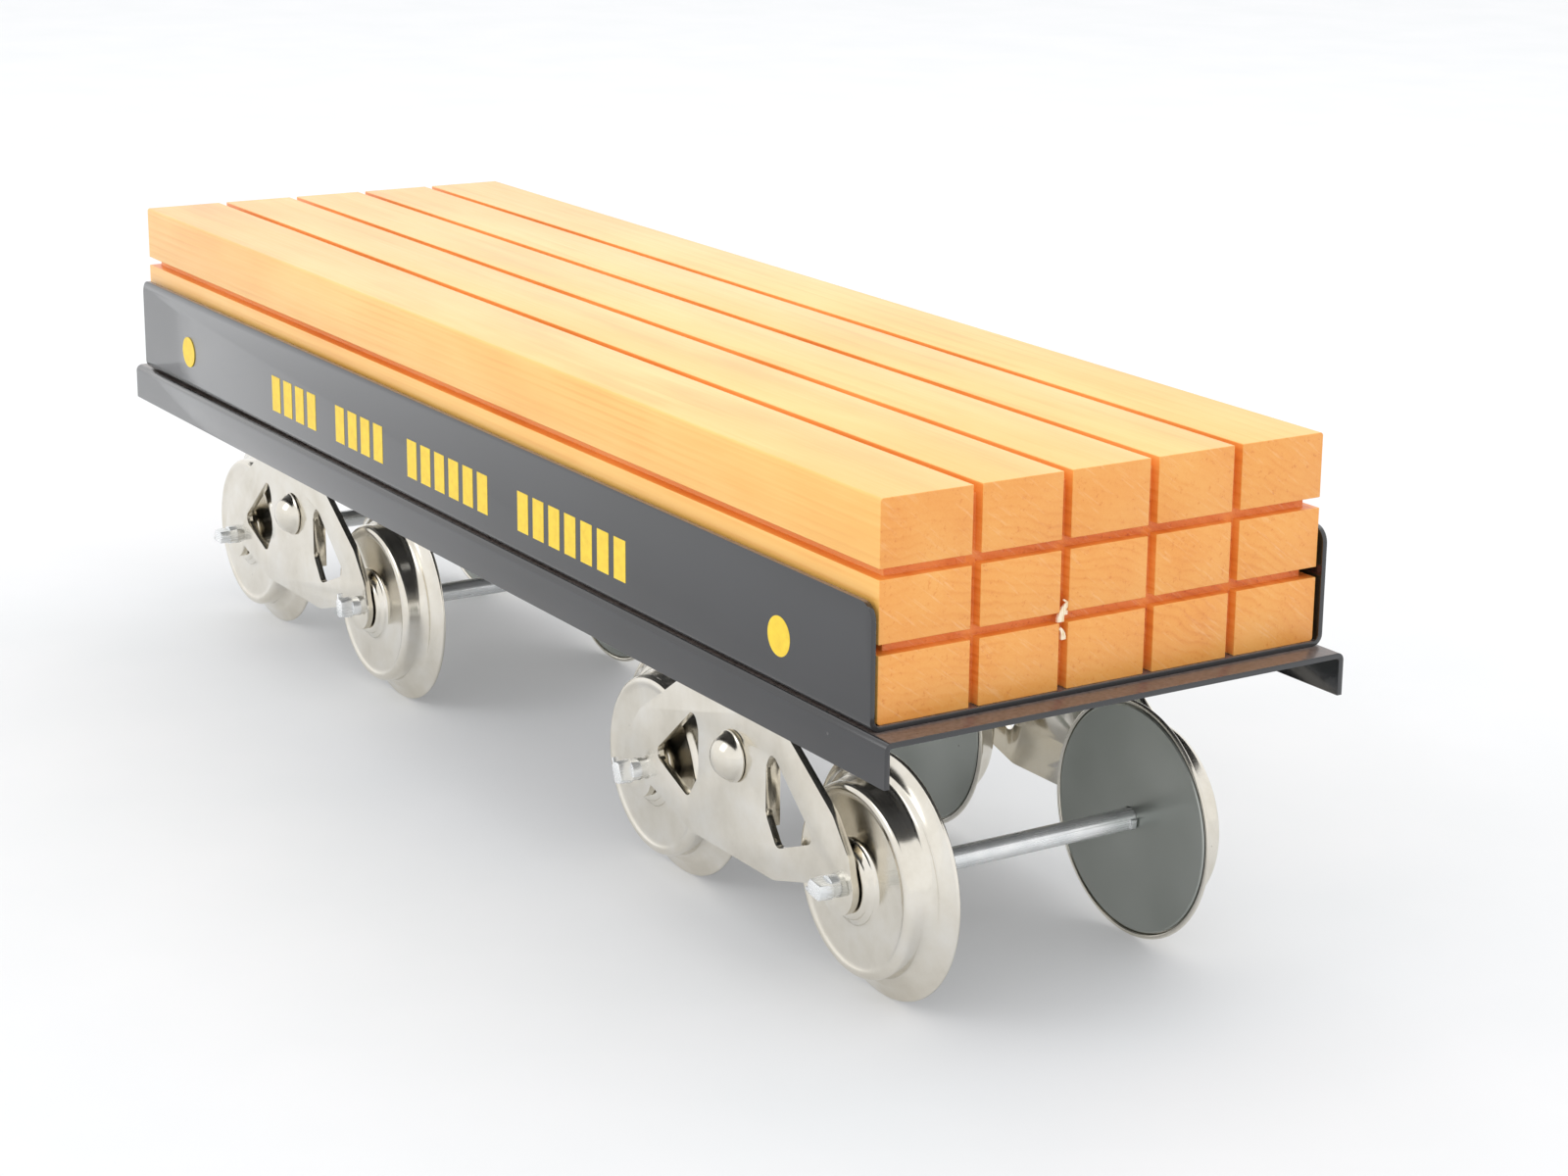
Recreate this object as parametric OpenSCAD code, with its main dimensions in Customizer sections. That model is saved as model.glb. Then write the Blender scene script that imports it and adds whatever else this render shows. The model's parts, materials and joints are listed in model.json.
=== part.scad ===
// Flat car for wide-gauge toy track: a pressed deck on two four-wheel trucks,
// with a shallow tray on the deck that holds one wood block cut to look like stacked boards.
// X runs along the car, Y across it and Z up. The wheel flanges stand on Z = 0.

/* [Load] */
// Length of the wood block
load_l = 304.8; // [240:0.1:380]
// Width of the wood block
load_w = 88.9; // [72:0.1:110]
// Height of the wood block
load_h = 36.5; // [28:0.1:46]
// Boards that the cuts show side by side
boards_wide = 5; // [2:1:7]
// Boards that the cuts show one on another
boards_high = 3; // [2:1:4]
// Spacing of the lengthways cuts in the top
board_pitch = 17.46; // [10:0.01:22]
// Width of the saw cuts
kerf_w = 1.8; // [0.8:0.1:3]
// Depth of the saw cuts
kerf_d = 2.0; // [0.8:0.1:4]
// Radius of the sanded long edges
edge_r = 0.6; // [0.2:0.1:1.5]

/* [Tray] */
// Sheet thickness of the tray
tray_t = 0.9; // [0.6:0.1:1.5]
// Overall height of the tray walls
tray_h = 20.9; // [12:0.1:32]
// Outside radius of the tray's long bends
tray_bend = 2.0; // [1.2:0.1:3]
// Radius of the walls' top corners
tray_corner = 3.0; // [1:0.1:6]
// Gap between the block and each wall
tray_gap = 0.8; // [0.3:0.1:2]
// How far the tray runs past the block at each end
tray_end = 0.5; // [0:0.1:4]

/* [Deck] */
// Sheet thickness of the deck
deck_t = 1.0; // [0.7:0.1:1.6]
// Overall depth of the deck's side flanges
deck_flange = 7.6; // [5:0.1:12]
// Outside radius of the deck's long bends
deck_bend = 1.4; // [1.1:0.1:2.5]
// How far the deck runs past the tray at each end
deck_end = 5.1; // [1:0.1:12]
// How far each flange stands out past the tray wall
deck_side = 0.55; // [0:0.05:3]
// Height of the flanges' lower edges above the wheel tops
wheel_clear = 6.1; // [4:0.1:12]

/* [Wheels] */
// Radius of the wheel flange
flange_r = 21.7; // [17.5:0.1:26.5]
// Step in radius from the tread up to the flange
flange_step = 4.8; // [3.6:0.1:6]
// Thickness of the flange at its foot
flange_w = 2.0; // [1.4:0.1:2.6]
// Width of the whole wheel along the axle
wheel_w = 7.2; // [6:0.1:9]
// Distance between the backs of the two wheels on one axle
back_to_back = 51.2; // [44:0.1:62]
// Radius of the rounded front rim
rim_roll = 1.3; // [0.8:0.1:2]
// Radius of the raised hub
hub_r = 7.6; // [6:0.1:9]
// Depth of the dished web behind the rim
web_dish = 0.4; // [0.1:0.1:1.6]
// Sheet thickness of the wheel shell
shell_t = 0.9; // [0.6:0.1:1.2]
// Thickness of the disc that closes the back of the wheel
back_t = 0.75; // [0.5:0.05:1.2]
// Width of the rolled lip round that disc
lip_w = 1.0; // [0.7:0.1:1.6]

/* [Axles] */
// Radius of the axle rod
axle_r = 2.0; // [1.5:0.1:2.6]
// Clearance between a turning bore and its rod
run_clear = 0.05; // [0.02:0.01:0.1]
// Length of the crimped axle end outside the sideframe
crimp_l = 4.2; // [2.5:0.1:7]
// Thickness of the crimped blade
crimp_t = 2.7; // [1.2:0.1:3]
// How far the crimp spreads past the rod
crimp_spread = 0.3; // [0.2:0.1:1.5]

/* [Trucks] */
// Distance from the deck's end to the truck's centre
truck_inset = 63.5; // [55:0.1:90]
// Distance between the two axles of a truck
wheelbase = 67.2; // [56:0.1:82]
// Sheet thickness of the sideframes
side_t = 1.3; // [0.9:0.1:1.8]
// Gap between a wheel's front and the sideframe
side_gap = 1.9; // [1.2:0.1:4]
// Height of the sideframe's top edge above the axles
side_top = 24.3; // [22:0.1:27]
// Depth of the sideframe's lower edge below the axles
side_low = 5.7; // [4:0.1:9]
// Half-length of the sideframe's flat top edge
side_crown = 14.0; // [11:0.1:18]
// Radius of the ear round each axle
ear_r = 5.2; // [4:0.1:7]
// Radius of the corners of the cut-outs
cut_r = 1.6; // [0.6:0.1:2.4]
// Height of the side rivet above the axles
rivet_rise = 12.6; // [11:0.1:14]
// Radius of the side rivet's domed head
dome_r = 4.5; // [3.5:0.1:5.5]
// Height of the side rivet's domed head
dome_h = 3.6; // [1.5:0.1:4.4]
// Sheet thickness of the bolster
bolster_t = 1.4; // [1:0.1:2]
// Half-width of the bolster
lug_half = 9.3; // [7:0.1:11]
// Depth of the bolster's lugs below the side rivet
lug_drop = 9.0; // [7:0.1:11]
// Gap between a lug and the stop tab beside it
stop_gap = 0.8; // [0.7:0.05:1.6]
// Depth of the stop tabs behind the sideframe
tab_deep = 1.6; // [1.2:0.1:2.4]
// Gap between flat faces that slide on each other
run_gap = 0.1; // [0.05:0.05:0.3]

/* [Fasteners] */
// Radius of the kingpins and side rivets
pin_r = 2.0; // [1.5:0.1:2.6]
// Radius of the kingpins' flat heads
pin_head_r = 4.0; // [3.2:0.1:5]
// Radius of the spacing washers under the deck
washer_r = 7.0; // [5.5:0.1:8]
// Thickness of the spacing washers
washer_t = 1.0; // [0.6:0.1:2]
// Radius of the load screws' shanks
screw_r = 1.5; // [1:0.1:2]
// Radius of the load screws' heads
screw_head_r = 3.2; // [2.4:0.1:4]
// Length of the load screws in the wood
screw_bite = 14.0; // [8:0.5:20]
// Spacing of the load screws along the car
screw_dx = 72.0; // [50:1:90]
// Spacing of the load screws across the car
screw_dy = 44.0; // [30:1:56]

/* [Hidden] */
$fn = 72;
ENDS = ["front", "rear"];
AXLES = ["outer", "inner"];
SIDES = ["left", "right"];
function sign_of(i) = i == 0 ? 1 : -1;

// Heights
axle_z = flange_r;
flange_low_z = 2 * flange_r + wheel_clear;
deck_top = flange_low_z + deck_flange;
load_z = deck_top + tray_t;
pivot_z = axle_z + rivet_rise;
bolster_top = deck_top - deck_t - washer_t - run_gap;
pin_low_z = bolster_top - bolster_t - run_gap;
lug_z = pivot_z - lug_drop;

// Lengths and widths
tray_l = load_l + 2 * tray_end;
tray_w = load_w + 2 * (tray_gap + tray_t);
deck_l = tray_l + 2 * deck_end;
deck_w = tray_w + 2 * deck_side;
truck_x = deck_l / 2 - truck_inset;
wheel_back = back_to_back / 2;
wheel_front = wheel_back + wheel_w;
tread_r = flange_r - flange_step;
side_in = wheel_front + side_gap;
side_out = side_in + side_t;
lug_out = side_in - run_gap;
lug_in = lug_out - bolster_t;
ear_x = wheelbase / 2;
upright_x = lug_half + stop_gap + side_t;

// Small details that follow the sheet and the rods
pin_head_t = tray_t - run_gap;
pin_foot_t = 1.2;
rivet_foot_r = pin_r + 1.4;
rivet_foot_t = 1.1;
rivet_rim_r = dome_r + 0.15;
rivet_rim_t = 0.35;
tab_low = 9.6;
tab_high = 4.0;
lug_corner = 3.0;
stiffener = 4.0;
stiffener_end = 2.4;
screw_head_t = 1.9;
screw_slot_w = 0.8;
screw_slot_d = 0.9;
screw_point = 3.0;
stake_spread = 0.5;
stake_l = 1.0;
stake_w = 1.8;
stake_gap = 0.3;
crimp_neck = 1.7;
barb_l = 1.4;
barb_w = 0.6;
barb_out = 0.6;
hub_round = 1.2;
hub_gap = 0.4;
fillet_r = 2.2;
flange_tip = 0.5;
past = 1;

TRUCK_NODES = [for (e = ENDS) each concat(
    [str(e, "_bolster")],
    [for (s = SIDES) each [str(e, "_sideframe_", s), str(e, "_side_rivet_", s)]],
    [for (a = AXLES) str(e, "_", a, "_axle")],
    [for (a = AXLES) for (s = SIDES) each [str(e, "_", a, "_wheel_", s), str(e, "_", a, "_wheel_back_", s)]])];

// An outline whose corners, given as [x, y, radius], are rounded with arcs
function unit(v) = v / norm(v);
function arc_corner(a, b, c, r, steps = 8) =
    let (u = unit(a - b), v = unit(c - b), half = acos(u * v) / 2)
    let (centre = b + unit(u + v) * r / sin(half))
    let (from = b + u * r / tan(half) - centre, to = b + v * r / tan(half) - centre)
    let (start = atan2(from[1], from[0]), turn = atan2(to[1], to[0]) - start)
    let (sweep = turn > 180 ? turn - 360 : turn < -180 ? turn + 360 : turn)
    [for (i = [0:steps]) centre + r * [cos(start + sweep * i / steps), sin(start + sweep * i / steps)]];
function flat(p) = [p[0], p[1]];
function rounded(pts) =
    let (n = len(pts))
    [for (i = [0:n - 1]) each pts[i][2] == 0 ? [flat(pts[i])] :
        arc_corner(flat(pts[(i + n - 1) % n]), flat(pts[i]), flat(pts[(i + 1) % n]), pts[i][2])];
function mirrored(pts) = concat(pts, [for (i = [len(pts) - 1:-1:0]) [-pts[i][0], pts[i][1], pts[i][2]]]);

// Sheet bent into a channel, as a section: the base lies on y = 0 and the walls rise from it
module channel_outline(w, h, r) {
    translate([-w / 2, r]) square([w, h - r]);
    translate([-w / 2 + r, 0]) square([w - 2 * r, h]);
    for (s = [-1, 1]) translate([s * (w / 2 - r), r]) circle(r);
}

module channel_section(w, h, t, r) {
    difference() {
        channel_outline(w, h, r);
        translate([0, t]) channel_outline(w - 2 * t, h + past, r - t);
    }
}

// A section drawn in Y and Z, run along X about the middle
module along_x(length) {
    rotate([90, 0, 90]) linear_extrude(length, center = true) children();
}

// A shape drawn in X and Z, as sheet between two distances from the car's middle plane
module upright_sheet(side, inner, outer) {
    translate([0, side > 0 ? outer : -inner, 0]) rotate([90, 0, 0]) linear_extrude(outer - inner) children();
}

// A turned shape drawn as radius and distance outward, about an axle or rivet
module turned_outward(side) {
    rotate([-90 * side, 0, 0]) rotate_extrude() children();
}

module upright_hole(r, low, high) {
    translate([0, 0, low - past]) cylinder(r = r, h = high - low + 2 * past);
}

module at_screws() {
    for (x = [-1, 1]) for (y = [-1, 1])
        translate([x * screw_dx / 2, y * screw_dy / 2, 0]) children();
}

module at_kingpins() {
    for (s = [-1, 1]) translate([s * truck_x, 0, 0]) children();
}

// Load ---------------------------------------------------------------

module load_section() {
    h = load_h;
    w = load_w / 2;
    polygon(rounded(mirrored([[w, 0, edge_r], [w, h, edge_r]])));
}

// Places of the cuts across the top and up the sides
cut_y = [for (i = [1:boards_wide - 1]) (i - boards_wide / 2) * board_pitch];
cut_z = [for (i = [1:boards_high - 1]) load_z + load_h * i / boards_high];

module load_cuts() {
    for (y = cut_y) {
        translate([-load_l, y - kerf_w / 2, load_z + load_h - kerf_d]) cube([2 * load_l, kerf_w, kerf_d + past]);
        for (s = [-1, 1]) translate([s * (load_l / 2 - kerf_d / 2 + past / 2), y, load_z + load_h / 2])
            cube([kerf_d + past, kerf_w, load_h + 2 * past], center = true);
    }
    for (z = cut_z) {
        for (s = [-1, 1]) translate([0, s * (load_w / 2 - kerf_d / 2 + past / 2), z])
            cube([load_l + 2 * past, kerf_d + past, kerf_w], center = true);
        for (s = [-1, 1]) translate([s * (load_l / 2 - kerf_d / 2 + past / 2), 0, z])
            cube([kerf_d + past, load_w + 2 * past, kerf_w], center = true);
    }
}

module load_block() {
    color("sandybrown") difference() {
        translate([0, 0, load_z]) along_x(load_l) load_section();
        load_cuts();
        at_screws() upright_hole(screw_r, load_z, load_z + screw_bite - past);
    }
}

// Tray and deck ------------------------------------------------------

module wall_outline() {
    polygon(rounded(mirrored([[tray_l / 2, deck_top, 0], [tray_l / 2, deck_top + tray_h, tray_corner]])));
}

module load_tray() {
    color("dimgray") difference() {
        intersection() {
            translate([0, 0, deck_top]) along_x(tray_l) channel_section(tray_w, tray_h, tray_t, tray_bend);
            rotate([90, 0, 0]) linear_extrude(2 * tray_w, center = true) wall_outline();
        }
        at_screws() upright_hole(screw_r + run_gap, deck_top, load_z);
        at_kingpins() upright_hole(pin_head_r + 0.6, deck_top, load_z);
    }
}

module deck_frame() {
    color("dimgray") difference() {
        translate([0, 0, deck_top]) mirror([0, 0, 1]) along_x(deck_l)
            channel_section(deck_w, deck_flange, deck_t, deck_bend);
        at_screws() upright_hole(screw_r + run_gap, deck_top - deck_t, deck_top);
        at_kingpins() upright_hole(pin_r + run_clear, deck_top - deck_t, deck_top);
    }
}

module load_screws() {
    under = deck_top - deck_t;
    color("silver") at_screws() difference() {
        union() {
            translate([0, 0, under - screw_head_t]) cylinder(r1 = screw_head_r * 0.62, r2 = screw_head_r, h = screw_head_t);
            translate([0, 0, under - past]) cylinder(r = screw_r, h = load_z + screw_bite - screw_point - under + past);
            translate([0, 0, load_z + screw_bite - screw_point]) cylinder(r1 = screw_r, r2 = 0.3, h = screw_point);
        }
        translate([0, 0, under - screw_head_t]) cube([3 * screw_head_r, screw_slot_w, 2 * screw_slot_d], center = true);
    }
}

// Kingpins and washers ----------------------------------------------

module kingpin(end) {
    color("silver") translate([end * truck_x, 0, 0]) {
        translate([0, 0, deck_top]) cylinder(r = pin_head_r, h = pin_head_t);
        translate([0, 0, pin_low_z - pin_foot_t]) cylinder(r = pin_r, h = deck_top + pin_head_t - pin_low_z + pin_foot_t);
        translate([0, 0, pin_low_z - pin_foot_t]) cylinder(r = pin_head_r, h = pin_foot_t);
    }
}

module washer(end) {
    color("silver") translate([end * truck_x, 0, deck_top - deck_t - washer_t]) difference() {
        cylinder(r = washer_r, h = washer_t);
        upright_hole(pin_r + run_clear, 0, washer_t);
    }
}

// Trucks -------------------------------------------------------------

module lug_outline() {
    polygon(rounded(mirrored([[lug_half, lug_z, lug_corner], [lug_half, bolster_top, 0]])));
}

module bolster(end) {
    color("gainsboro") translate([end * truck_x, 0, 0]) difference() {
        union() {
            intersection() {
                translate([0, 0, bolster_top]) mirror([0, 0, 1]) along_x(2 * lug_half)
                    channel_section(2 * lug_out, bolster_top - lug_z, bolster_t, bolster_t + 1);
                rotate([90, 0, 0]) linear_extrude(4 * lug_out, center = true) lug_outline();
            }
            for (s = [-1, 1])
                translate([s * (lug_half - bolster_t / 2), 0, bolster_top - bolster_t - stiffener / 2 + 0.5])
                    cube([bolster_t, 2 * (lug_in - stiffener_end), stiffener + 1], center = true);
        }
        upright_hole(pin_r + run_clear, bolster_top - bolster_t, bolster_top);
        translate([0, 0, pivot_z]) rotate([90, 0, 0]) cylinder(r = pin_r, h = 3 * lug_out, center = true);
    }
}

module sideframe_outline() {
    polygon(rounded(mirrored([
        [side_crown, axle_z + side_top, 2],
        [ear_x - 1.1, axle_z + 11.9, 6],
        [ear_x + 3.8, axle_z + 5.8, 4],
        [ear_x + ear_r, axle_z, 0],
        [ear_x, axle_z, 0],
        [ear_x - ear_r, axle_z - 1.5, 0],
        [side_crown, axle_z - side_low, 6]])));
    for (s = [-1, 1]) translate([s * ear_x, axle_z]) circle(ear_r);
}

module cut_out_outline() {
    polygon(rounded([
        [ear_x - 6.2, axle_z + 5.2, cut_r],
        [upright_x + 1.6, axle_z + 17.6, cut_r],
        [upright_x, axle_z + 14.0, 3],
        [upright_x, axle_z + 5.5, 3],
        [upright_x + 3.6, axle_z + 0.3, cut_r]]));
}

module sideframe(end, side) {
    color("gainsboro") translate([end * truck_x, 0, 0]) difference() {
        union() {
            upright_sheet(side, side_in, side_out) difference() {
                sideframe_outline();
                for (m = [0, 1]) mirror([m, 0]) cut_out_outline();
            }
            upright_sheet(side, side_in - tab_deep, side_out - side_t / 2)
                for (m = [0, 1]) mirror([m, 0])
                    translate([upright_x - side_t, pivot_z - tab_low]) square([side_t, tab_low + tab_high]);
        }
        for (x = [-ear_x, ear_x]) translate([x, 0, axle_z]) cross_hole(axle_r + run_clear);
        translate([0, 0, pivot_z]) cross_hole(pin_r + run_clear);
    }
}

module cross_hole(r) {
    rotate([90, 0, 0]) cylinder(r = r, h = 4 * side_out, center = true);
}

module side_rivet(end, side) {
    dome_ball = (dome_r * dome_r + dome_h * dome_h) / (2 * dome_h);
    head = side_out + run_gap;
    color("gainsboro") translate([end * truck_x, 0, pivot_z]) turned_outward(side) {
        translate([0, head]) square([rivet_rim_r, rivet_rim_t]);
        intersection() {
            translate([0, head + dome_h - dome_ball]) circle(dome_ball);
            translate([0, head]) square([dome_r, dome_h]);
        }
        translate([0, lug_in - rivet_foot_t]) square([pin_r, head + rivet_rim_t - lug_in + rivet_foot_t]);
        translate([0, lug_in - rivet_foot_t]) square([rivet_foot_r, rivet_foot_t]);
    }
}

// Turn of each axle's crimped blades, from level
function crimp_turn(end, axle) = end > 0 ? (axle > 0 ? 8 : 70) : (axle > 0 ? 0 : 90);

// The crimped end, from the sideframe outward: a round neck, a flat blade, and the burr that the tool leaves
module axle_end() {
    spread = axle_r + crimp_spread;
    translate([0, 0, crimp_neck]) intersection() {
        cylinder(r1 = spread, r2 = spread - 0.3, h = crimp_l - crimp_neck);
        translate([0, 0, crimp_l / 2]) cube([3 * spread, crimp_t, 2 * crimp_l], center = true);
    }
    translate([-spread - barb_out, crimp_t / 2 - barb_w, crimp_l - barb_l]) cube([spread + barb_out, barb_w, barb_l - 0.2]);
}

module axle(end, axle) {
    stake_s = wheel_back - stake_gap - stake_l;
    color("silver") translate([end * truck_x + end * axle * ear_x, 0, axle_z])
        rotate([-90, 0, 0]) rotate([0, 0, crimp_turn(end, axle)]) {
            cylinder(r = axle_r, h = 2 * (side_out + crimp_neck), center = true);
            for (m = [0, 1]) mirror([0, 0, m]) {
                translate([0, 0, side_out]) axle_end();
                translate([0, 0, stake_s]) intersection() {
                    cylinder(r = axle_r + stake_spread, h = stake_l);
                    translate([0, 0, stake_l / 2]) cube([4 * axle_r, stake_w, stake_l], center = true);
                }
            }
        }
}

module wheel_outline() {
    hub_front = wheel_w + side_gap - hub_gap;
    foot_r = tread_r + fillet_r;
    square([tread_r - rim_roll, wheel_w - web_dish]);
    square([tread_r, wheel_w - rim_roll]);
    translate([tread_r - rim_roll, wheel_w - rim_roll]) circle(rim_roll);
    square([hub_r, hub_front - hub_round]);
    square([hub_r - hub_round, hub_front]);
    translate([hub_r - hub_round, hub_front - hub_round]) circle(hub_round);
    polygon([[0, 0], [flange_r, 0], [flange_r, flange_tip], [foot_r, flange_w], [0, flange_w]]);
    difference() {
        translate([tread_r - past, flange_w - past]) square([fillet_r + past, fillet_r + past]);
        translate([foot_r, flange_w + fillet_r]) circle(fillet_r);
    }
}

module wheel(end, axle, side) {
    color("gainsboro") translate([end * truck_x + end * axle * ear_x, side * wheel_back, axle_z])
        turned_outward(side) difference() {
            wheel_outline();
            translate([0, -past]) square([axle_r + run_clear, wheel_w + side_gap + 2 * past]);
            translate([0, -past]) square([flange_r - lip_w, back_t + past]);
            square([tread_r - shell_t, wheel_w - web_dish - shell_t]);
        }
}

module wheel_back(end, axle, side) {
    color("slategray") translate([end * truck_x + end * axle * ear_x, side * wheel_back, axle_z])
        turned_outward(side)
            translate([axle_r + run_clear, 0]) square([flange_r - lip_w - axle_r - 2 * run_clear, back_t]);
}

// Assembly -----------------------------------------------------------

load_block();
load_tray();
deck_frame();
load_screws();
for (e = [0, 1]) {
    kingpin(sign_of(e));
    washer(sign_of(e));
    bolster(sign_of(e));
    for (s = [0, 1]) {
        sideframe(sign_of(e), sign_of(s));
        side_rivet(sign_of(e), sign_of(s));
    }
    for (a = [0, 1]) {
        axle(sign_of(e), sign_of(a));
        for (s = [0, 1]) {
            wheel(sign_of(e), sign_of(a), sign_of(s));
            wheel_back(sign_of(e), sign_of(a), sign_of(s));
        }
    }
}
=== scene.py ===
# %% [markdown]
# # A toy flat car with a wood load
#
# This lesson dresses a finished mechanical model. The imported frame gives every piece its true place
# and size, so the work here is what the eye sees: soft edges on bent sheet, turned and pressed
# wheels, crimped axles, stained wood, enamel and plated metal. Each piece rides on one body of the
# frame, so it follows when that body moves.

# %% Load the frame
import json
import math

import bpy
from mathutils import Matrix, Vector


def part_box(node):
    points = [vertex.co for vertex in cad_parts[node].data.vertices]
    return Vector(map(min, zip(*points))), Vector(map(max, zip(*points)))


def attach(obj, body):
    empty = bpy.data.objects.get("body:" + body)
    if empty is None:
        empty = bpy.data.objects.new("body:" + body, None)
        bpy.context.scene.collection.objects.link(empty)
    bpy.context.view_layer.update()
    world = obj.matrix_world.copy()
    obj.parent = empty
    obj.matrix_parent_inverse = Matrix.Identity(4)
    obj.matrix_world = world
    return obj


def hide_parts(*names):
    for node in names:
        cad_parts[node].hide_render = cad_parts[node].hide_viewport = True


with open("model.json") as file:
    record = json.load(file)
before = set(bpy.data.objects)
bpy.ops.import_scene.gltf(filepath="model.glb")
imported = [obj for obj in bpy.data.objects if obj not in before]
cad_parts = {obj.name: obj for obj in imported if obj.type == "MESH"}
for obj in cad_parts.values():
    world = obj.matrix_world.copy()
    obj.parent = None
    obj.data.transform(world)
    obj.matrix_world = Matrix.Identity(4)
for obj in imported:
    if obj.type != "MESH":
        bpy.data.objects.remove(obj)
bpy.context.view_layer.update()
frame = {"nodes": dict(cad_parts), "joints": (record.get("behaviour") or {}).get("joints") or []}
nodes = frame["nodes"]
joints = {joint["name"]: joint for joint in frame["joints"]}
scene = bpy.context.scene
print("nodes:", len(nodes), " joints:", len(joints))

# %% [markdown]
# ## Lengths and colours
#
# The frame is in metres, but a maker thinks in millimetres, so one small constant turns one into the
# other. Colours are written as the hex values a paint chart would give. Blender mixes light in linear
# values, so one function converts them.

# %% Millimetres and colours
MM = 0.001


def colour(hex_value, alpha=1.0):
    """The linear colour of an sRGB hex value."""
    parts = [int(hex_value[i:i + 2], 16) / 255 for i in (1, 3, 5)]
    return tuple(c / 12.92 if c <= 0.04045 else ((c + 0.055) / 1.055) ** 2.4 for c in parts) + (alpha,)


print("mid grey is", [round(c, 3) for c in colour("#808080")])

# %% [markdown]
# ## The camera
#
# The car is seen from its front right corner, a little above the deck. A long lens keeps the far end
# from shrinking too much. The camera's three directions are worked out from an azimuth, an elevation
# and a small roll, and its aim is the point beside the load that the view is centred on. The lens is
# shifted a little, as a cropped picture would be.

# %% Place the camera
AZIMUTH, ELEVATION, ROLL = math.radians(55.72), math.radians(15.15), math.radians(1.12)
AIM = Vector((16.9, 53.3, 44.0)) * MM
DISTANCE = 654.5 * MM
toward = Vector((math.sin(AZIMUTH) * math.cos(ELEVATION), -math.cos(AZIMUTH) * math.cos(ELEVATION),
                 math.sin(ELEVATION)))
level_right = (-toward).cross(Vector((0, 0, 1))).normalized()
level_up = toward.cross(level_right).normalized()
right = level_right * math.cos(ROLL) + level_up * math.sin(ROLL)
up = level_up * math.cos(ROLL) - level_right * math.sin(ROLL)

lens = bpy.data.cameras.new("camera")
lens.sensor_width = 36.0
lens.lens = 72.45
lens.shift_x = -0.0801
lens.shift_y = -0.0353
lens.clip_start = 0.02
camera = bpy.data.objects.new("camera", lens)
camera.matrix_world = Matrix((right, up, toward)).transposed().to_4x4()
camera.matrix_world.translation = AIM + toward * DISTANCE
scene.collection.objects.link(camera)
scene.camera = camera
print("camera at", [round(c, 3) for c in camera.location])

# %% [markdown]
# ## Floor and light
#
# Glossy black enamel and nickel plate have almost no colour of their own: they show the room. So the
# room is a white tent. The sky around is bright white, the floor is white, and one large soft lamp
# overhead gives the wood its form and puts a soft shadow under the car. The view transform is the
# plain one, so that white paper stays white.

# %% Build the studio
scene.view_settings.view_transform = "Standard"

bpy.ops.object.select_all(action="DESELECT")
bpy.ops.mesh.primitive_plane_add(size=8, location=(0, 0, 0))
floor = bpy.context.object
floor.name = "floor"

tent = bpy.data.worlds.new("tent")
tent.use_nodes = True
tent.node_tree.nodes["Background"].inputs["Color"].default_value = (1, 1, 1, 1)
tent.node_tree.nodes["Background"].inputs["Strength"].default_value = 1.12
scene.world = tent


def soft_lamp(name, place, size, watts):
    """A square lamp that faces the car's middle."""
    light = bpy.data.lights.new(name, "AREA")
    light.size = size
    light.energy = watts
    lamp = bpy.data.objects.new(name, light)
    lamp.location = place
    lamp.rotation_euler = (Vector((0, 0, 0.05)) - lamp.location).to_track_quat("-Z", "Y").to_euler()
    scene.collection.objects.link(lamp)
    return lamp


soft_lamp("top_lamp", Vector((-0.25, 0.3, 1.2)), 1.5, 3.5)
soft_lamp("side_lamp", Vector((-0.2, -1.0, 0.75)), 0.6, 1.6)

# %% [markdown]
# ## A helper for materials
#
# A material is a small network of nodes. One function adds a node, sets its options, and fills each
# input with either a plain value or the output of another node. A second one starts a material and
# hands back its shader and its coordinates, so that each finish below is only a few lines that say
# what is special about it.

# %% Add a node with its settings and links
def put(tree, kind, inputs=None, **settings):
    new = tree.nodes.new(kind)
    for name, value in settings.items():
        setattr(new, name, value)
    for name, value in (inputs or {}).items():
        if isinstance(value, bpy.types.NodeSocket):
            tree.links.new(value, new.inputs[name])
        else:
            new.inputs[name].default_value = value
    return new


def begin_material(name, **values):
    """An empty material with its Principled shader set: returns it, its tree, shader and coordinates."""
    material = bpy.data.materials.new(name)
    material.use_nodes = True
    tree = material.node_tree
    shader = tree.nodes["Principled BSDF"]
    for key, value in values.items():
        shader.inputs[key.replace("_", " ")].default_value = value
    coords = put(tree, "ShaderNodeTexCoord").outputs["Object"]
    return material, tree, shader, coords


def stretched(tree, coords, scale):
    """Coordinates in millimetres, stretched by a scale for each axis."""
    return put(tree, "ShaderNodeMapping", {"Vector": coords,
                                           "Scale": [s / MM for s in scale]}).outputs["Vector"]


def ramp(tree, fac, stops):
    """Colours along a 0 to 1 value."""
    new = put(tree, "ShaderNodeValToRGB", {"Fac": fac})
    elements = new.color_ramp.elements
    while len(elements) < len(stops):
        elements.new(0.5)
    for element, (place, value) in zip(elements, stops):
        element.position = place
        element.color = value
    return new.outputs["Color"]


def grey(value):
    return (value, value, value, 1.0)


print("helpers ready")
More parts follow.
